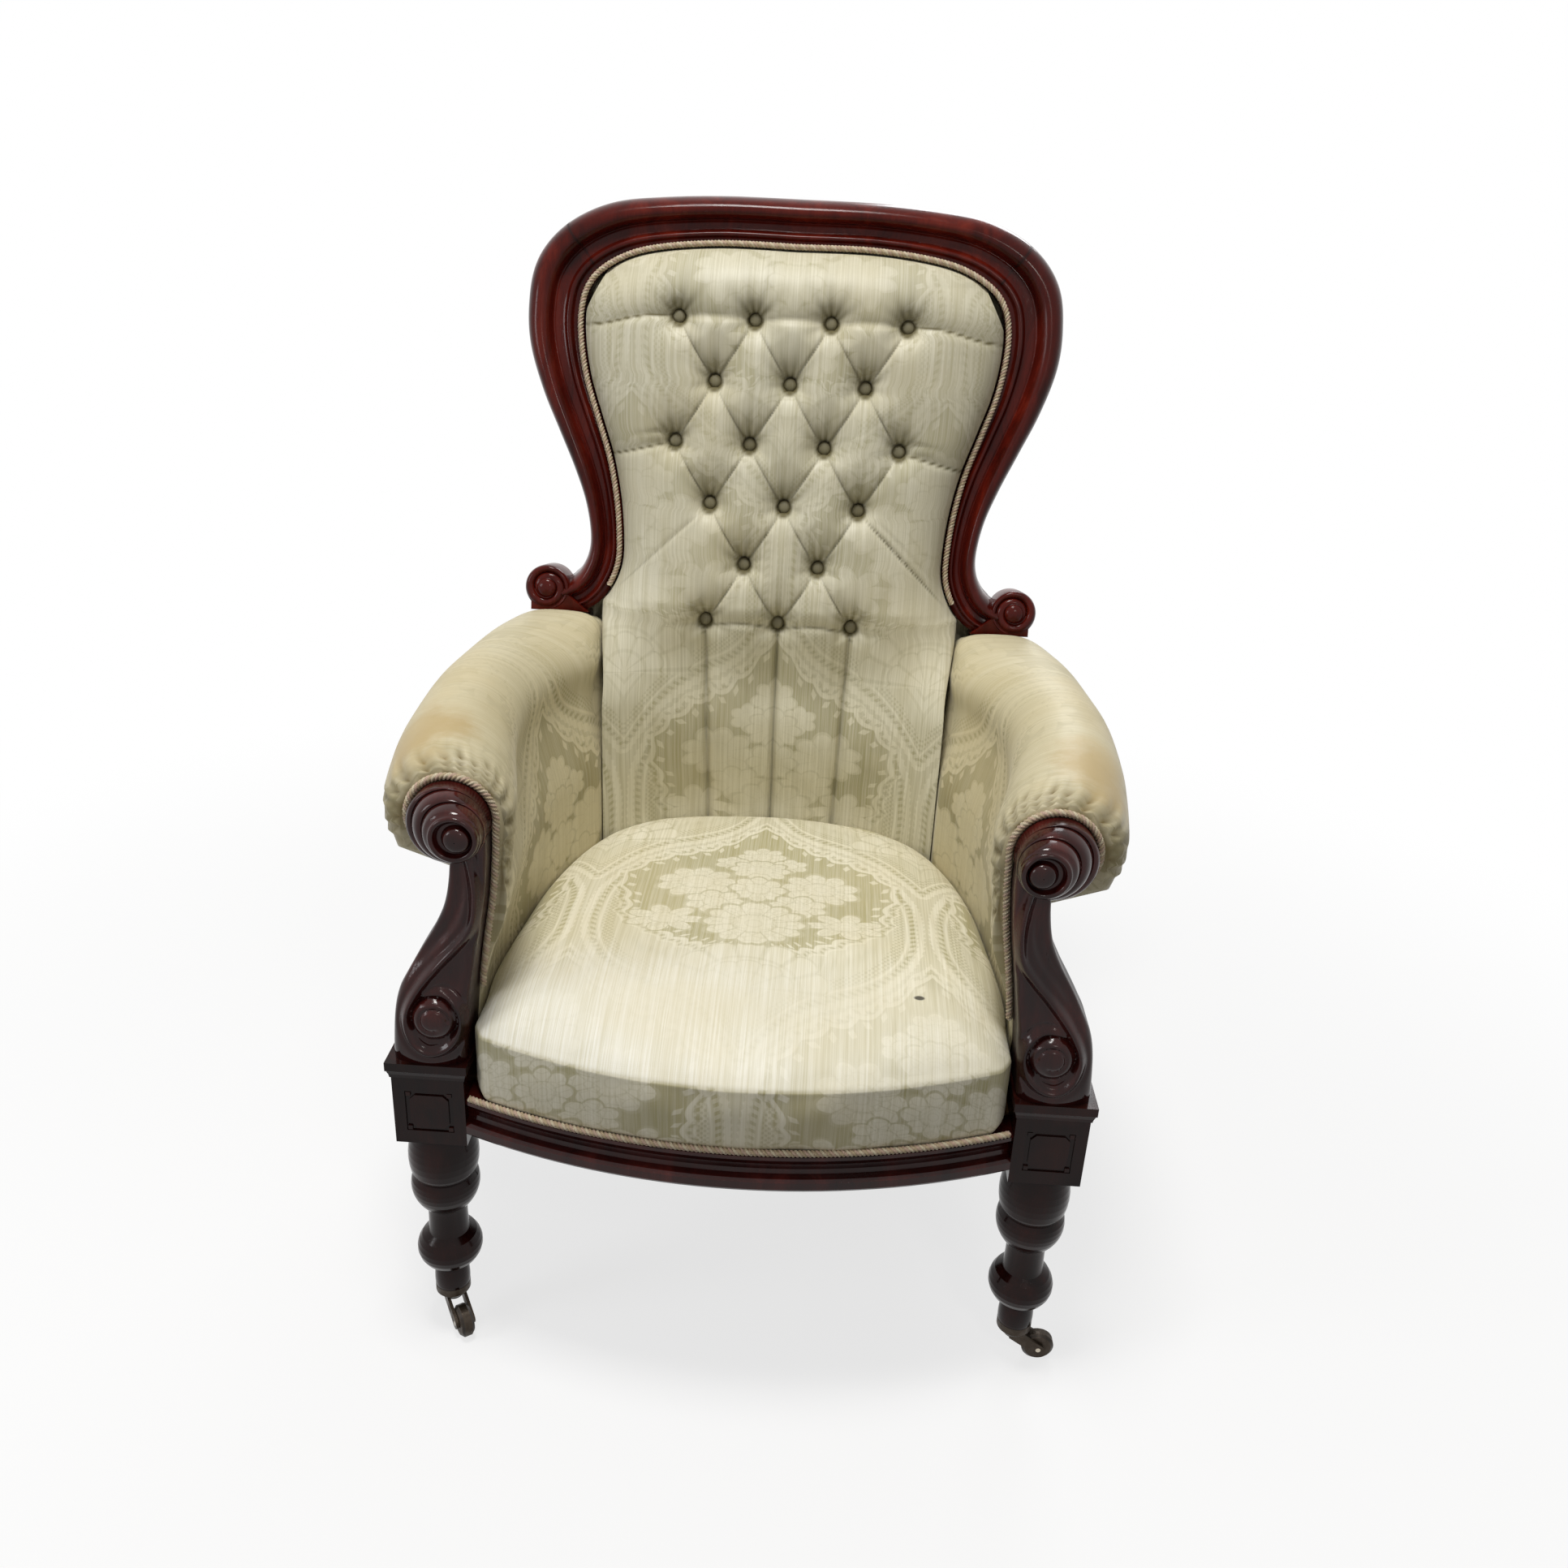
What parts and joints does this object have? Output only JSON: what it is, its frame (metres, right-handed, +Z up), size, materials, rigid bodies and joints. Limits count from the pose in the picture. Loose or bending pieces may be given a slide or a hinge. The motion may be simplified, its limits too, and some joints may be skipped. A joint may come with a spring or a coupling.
{
  "type": "upholstered armchair",
  "caption": "Victorian spoon back armchair: moulded show-wood frame, deep-buttoned damask back, sprung seat, padded scroll arms, turned front legs and swivel castors.",
  "frame": {"origin": "on the floor, under the middle of the chair's bounding box", "axes": "+X to the right as seen from the front, +Y from the front to the back, +Z up"},
  "size_m": [0.6896, 0.6532, 1.0551],
  "materials": {
    "mahogany": "dark red-brown mahogany, french polished",
    "beech": "plain beech, unpolished, hidden inside the frame",
    "damask": "silk damask, cream figure on a pale olive ground",
    "gimp": "twisted rope gimp, pinkish beige",
    "jute": "woven jute",
    "black_cloth": "thin black lining cloth",
    "steel": "plain steel",
    "castor_bronze": "dark patinated brass"
  },
  "bodies": {
    "chair": {"crest_rail": "mahogany", "back_stile_left": "mahogany", "back_stile_right": "mahogany", "front_leg_left": "mahogany", "front_leg_right": "mahogany", "rear_leg_left": "mahogany", "rear_leg_right": "mahogany", "arm_support_left": "mahogany", "arm_support_right": "mahogany", "arm_rail_left": "beech", "arm_rail_right": "beech", "front_rail": "mahogany", "side_rail_left": "mahogany", "side_rail_right": "mahogany", "back_rail": "beech", "corner_blocks": "beech", "block_screws": "steel", "rail_dowels": "beech", "seat_webbing": "jute", "seat_springs": "steel", "spring_hessian": "jute", "dust_cover": "black_cloth", "seat_cushion": "damask", "seat_gimp": "gimp", "back_upholstery": "damask", "back_buttons": "damask", "back_gimp": "gimp", "outside_back": "damask", "arm_pad_left": "damask", "arm_pad_right": "damask", "arm_gimp_left": "gimp", "arm_gimp_right": "gimp", "outside_arm_left": "damask", "outside_arm_right": "damask", "castor_cup_front_left": "castor_bronze", "castor_cup_front_right": "castor_bronze", "castor_cup_rear_left": "castor_bronze", "castor_cup_rear_right": "castor_bronze"},
    "fork_front_left": {"castor_fork_front_left": "castor_bronze", "castor_axle_front_left": "steel"},
    "wheel_front_left": {"castor_wheel_front_left": "castor_bronze"},
    "fork_front_right": {"castor_fork_front_right": "castor_bronze", "castor_axle_front_right": "steel"},
    "wheel_front_right": {"castor_wheel_front_right": "castor_bronze"},
    "fork_rear_left": {"castor_fork_rear_left": "castor_bronze", "castor_axle_rear_left": "steel"},
    "wheel_rear_left": {"castor_wheel_rear_left": "castor_bronze"},
    "fork_rear_right": {"castor_fork_rear_right": "castor_bronze", "castor_axle_rear_right": "steel"},
    "wheel_rear_right": {"castor_wheel_rear_right": "castor_bronze"}
  },
  "joints": [
    {"name": "swivel_front_left", "type": "hinge", "parent": "chair", "child": "fork_front_left", "pos_m": [-0.282, -0.24036, 0.04], "axis": [0, 0, 1], "continuous": true},
    {"name": "spin_front_left", "type": "hinge", "parent": "fork_front_left", "child": "wheel_front_left", "pos_m": [-0.26709, -0.26166, 0.016], "axis": [0.8192, 0.5736, 0], "continuous": true},
    {"name": "swivel_front_right", "type": "hinge", "parent": "chair", "child": "fork_front_right", "pos_m": [0.282, -0.24036, 0.04], "axis": [0, 0, 1], "continuous": true},
    {"name": "spin_front_right", "type": "hinge", "parent": "fork_front_right", "child": "wheel_front_right", "pos_m": [0.308, -0.24036, 0.016], "axis": [0, 1, 0], "continuous": true},
    {"name": "swivel_rear_left", "type": "hinge", "parent": "chair", "child": "fork_rear_left", "pos_m": [-0.235, 0.28964, 0.04], "axis": [0, 0, 1], "continuous": true},
    {"name": "spin_rear_left", "type": "hinge", "parent": "fork_rear_left", "child": "wheel_rear_left", "pos_m": [-0.2137, 0.30455, 0.016], "axis": [-0.5736, 0.8192, 0], "continuous": true},
    {"name": "swivel_rear_right", "type": "hinge", "parent": "chair", "child": "fork_rear_right", "pos_m": [0.235, 0.28964, 0.04], "axis": [0, 0, 1], "continuous": true},
    {"name": "spin_rear_right", "type": "hinge", "parent": "fork_rear_right", "child": "wheel_rear_right", "pos_m": [0.21248, 0.30264, 0.016], "axis": [-0.5, -0.866, 0], "continuous": true}
  ]
}
